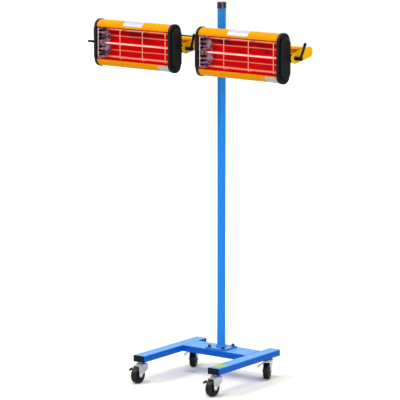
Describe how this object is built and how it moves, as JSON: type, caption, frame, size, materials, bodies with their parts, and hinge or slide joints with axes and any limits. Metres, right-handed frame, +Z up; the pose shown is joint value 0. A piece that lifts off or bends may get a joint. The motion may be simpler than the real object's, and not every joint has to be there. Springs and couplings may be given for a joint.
{
  "type": "infrared paint curing lamp",
  "caption": "Rolling stand with a sliding, turning boom that carries tilting infrared lamp cassettes with guard wires, mirror troughs and clamping levers.",
  "frame": {"origin": "middle of the bounding box on the floor plane", "axes": "+Z up, the lamps face -Y turned 9.5 degrees toward -X, +X along the boom toward its right end"},
  "size_m": [1.1066, 0.4404, 1.437],
  "materials": {
    "blue_paint": "gloss",
    "amber_paint": "satin",
    "yellow_paint": "satin",
    "black_plastic": "satin",
    "black_paint": "satin",
    "zinc_plate": "satin",
    "black_steel": "satin",
    "tyre": "matte",
    "polished_aluminium": "polished",
    "heater_quartz": "gloss",
    "chrome": "polished"
  },
  "bodies": {
    "stand": {"left_leg": "blue_paint", "right_leg": "blue_paint", "front_left_leg_plug": "black_plastic", "front_right_leg_plug": "black_plastic", "rear_left_leg_plug": "black_plastic", "rear_right_leg_plug": "black_plastic", "cross_member": "blue_paint", "mast_flange": "blue_paint", "mast": "blue_paint", "mast_cap": "black_plastic"},
    "carriage": {"height_collar": "black_paint"},
    "collar_knob_body": {"collar_knob": "black_plastic"},
    "boom_carriage": {"boom_sleeve": "black_paint", "boom": "black_paint", "boom_left_plug": "black_plastic", "boom_right_plug": "black_plastic", "left_bracket": "yellow_paint", "right_bracket": "yellow_paint"},
    "sleeve_knob_body": {"sleeve_knob": "black_plastic"},
    "left_lamp": {"left_housing": "amber_paint", "left_lamp_left_cap": "black_plastic", "left_lamp_right_cap": "black_plastic", "left_reflector": "polished_aluminium", "left_heater_tube": "heater_quartz", "left_guard_wire_1": "chrome", "left_guard_wire_2": "chrome", "left_guard_wire_3": "chrome", "left_guard_wire_4": "chrome", "left_pivot_bolt": "black_steel", "left_junction_box": "black_plastic", "left_cable_gland": "black_plastic"},
    "left_lever": {"left_clamp_lever": "black_plastic"},
    "left_switch": {"left_rocker": "black_plastic"},
    "right_lamp": {"right_housing": "amber_paint", "right_lamp_left_cap": "black_plastic", "right_lamp_right_cap": "black_plastic", "right_reflector": "polished_aluminium", "right_heater_tube": "heater_quartz", "right_guard_wire_1": "chrome", "right_guard_wire_2": "chrome", "right_guard_wire_3": "chrome", "right_guard_wire_4": "chrome", "right_pivot_bolt": "black_steel", "right_junction_box": "black_plastic", "right_cable_gland": "black_plastic"},
    "right_lever": {"right_clamp_lever": "black_plastic"},
    "right_switch": {"right_rocker": "black_plastic"},
    "front_left_caster": {"front_left_fork": "zinc_plate"},
    "front_left_roller": {"front_left_wheel": "tyre"},
    "front_left_brake_pedal": {"front_left_brake": "zinc_plate"},
    "front_right_caster": {"front_right_fork": "zinc_plate"},
    "front_right_roller": {"front_right_wheel": "tyre"},
    "front_right_brake_pedal": {"front_right_brake": "zinc_plate"},
    "rear_left_caster": {"rear_left_fork": "zinc_plate"},
    "rear_left_roller": {"rear_left_wheel": "tyre"},
    "rear_left_brake_pedal": {"rear_left_brake": "zinc_plate"},
    "rear_right_caster": {"rear_right_fork": "zinc_plate"},
    "rear_right_roller": {"rear_right_wheel": "tyre"},
    "rear_right_brake_pedal": {"rear_right_brake": "zinc_plate"}
  },
  "joints": [
    {"name": "height_slide", "type": "slide", "parent": "stand", "child": "carriage", "axis": [0, 0, 1], "range_m": [-0.95, 0.095]},
    {"name": "boom_turn", "type": "hinge", "parent": "carriage", "child": "boom_carriage", "pos_m": [0.02857, 0.11025, 1.254], "axis": [0, 0, 1], "range_deg": [-180, 180]},
    {"name": "collar_knob_turn", "type": "hinge", "parent": "carriage", "child": "collar_knob_body", "pos_m": [0.02857, 0.11025, 1.2407], "axis": [0, 1, 0], "continuous": true},
    {"name": "sleeve_knob_turn", "type": "hinge", "parent": "boom_carriage", "child": "sleeve_knob_body", "pos_m": [0.02857, 0.11025, 1.284], "axis": [0.165, 0.9863, 0], "continuous": true},
    {"name": "left_lamp_tilt", "type": "hinge", "parent": "boom_carriage", "child": "left_lamp", "pos_m": [-0.27002, 0.02243, 1.266], "axis": [0.9863, -0.165, 0], "range_deg": [-50, 85]},
    {"name": "left_lever_turn", "type": "hinge", "parent": "left_lamp", "child": "left_lever", "pos_m": [-0.27002, 0.02243, 1.266], "axis": [0.9863, -0.165, 0], "range_deg": [-90, 90]},
    {"name": "left_switch_rock", "type": "hinge", "parent": "left_lamp", "child": "left_switch", "pos_m": [-0.25386, 0.02814, 1.266], "axis": [0.9863, -0.165, 0], "range_deg": [-18, 0]},
    {"name": "right_lamp_tilt", "type": "hinge", "parent": "boom_carriage", "child": "right_lamp", "pos_m": [0.2823, -0.07, 1.266], "axis": [0.9863, -0.165, 0], "range_deg": [-50, 85]},
    {"name": "right_lever_turn", "type": "hinge", "parent": "right_lamp", "child": "right_lever", "pos_m": [0.2823, -0.07, 1.266], "axis": [0.9863, -0.165, 0], "range_deg": [-90, 90]},
    {"name": "right_switch_rock", "type": "hinge", "parent": "right_lamp", "child": "right_switch", "pos_m": [0.29846, -0.06429, 1.266], "axis": [0.9863, -0.165, 0], "range_deg": [-18, 0]},
    {"name": "front_left_swivel", "type": "hinge", "parent": "stand", "child": "front_left_caster", "pos_m": [-0.14593, -0.16675, 0.08], "axis": [0, 0, 1], "continuous": true},
    {"name": "front_left_roll", "type": "hinge", "parent": "front_left_caster", "child": "front_left_roller", "pos_m": [-0.14593, -0.18875, 0.0315], "axis": [1, 0, 0], "continuous": true},
    {"name": "front_left_brake_press", "type": "hinge", "parent": "front_left_caster", "child": "front_left_brake_pedal", "pos_m": [-0.16493, -0.18875, 0.0597], "axis": [0, -1, 0], "range_deg": [0, 20]},
    {"name": "front_right_swivel", "type": "hinge", "parent": "stand", "child": "front_right_caster", "pos_m": [0.20307, -0.16675, 0.08], "axis": [0, 0, 1], "continuous": true},
    {"name": "front_right_roll", "type": "hinge", "parent": "front_right_caster", "child": "front_right_roller", "pos_m": [0.20307, -0.18875, 0.0315], "axis": [1, 0, 0], "continuous": true},
    {"name": "front_right_brake_press", "type": "hinge", "parent": "front_right_caster", "child": "front_right_brake_pedal", "pos_m": [0.18407, -0.18875, 0.0597], "axis": [0, -1, 0], "range_deg": [0, 20]},
    {"name": "rear_left_swivel", "type": "hinge", "parent": "stand", "child": "rear_left_caster", "pos_m": [-0.14593, 0.17525, 0.08], "axis": [0, 0, 1], "continuous": true},
    {"name": "rear_left_roll", "type": "hinge", "parent": "rear_left_caster", "child": "rear_left_roller", "pos_m": [-0.13663, 0.15531, 0.0315], "axis": [0.9063, 0.4226, 0], "continuous": true},
    {"name": "rear_left_brake_press", "type": "hinge", "parent": "rear_left_caster", "child": "rear_left_brake_pedal", "pos_m": [-0.15385, 0.14728, 0.0597], "axis": [0.4226, -0.9063, 0], "range_deg": [0, 20]},
    {"name": "rear_right_swivel", "type": "hinge", "parent": "stand", "child": "rear_right_caster", "pos_m": [0.20307, 0.17525, 0.08], "axis": [0, 0, 1], "continuous": true},
    {"name": "rear_right_roll", "type": "hinge", "parent": "rear_right_caster", "child": "rear_right_roller", "pos_m": [0.21237, 0.15531, 0.0315], "axis": [0.9063, 0.4226, 0], "continuous": true},
    {"name": "rear_right_brake_press", "type": "hinge", "parent": "rear_right_caster", "child": "rear_right_brake_pedal", "pos_m": [0.19515, 0.14728, 0.0597], "axis": [0.4226, -0.9063, 0], "range_deg": [0, 20]}
  ]
}
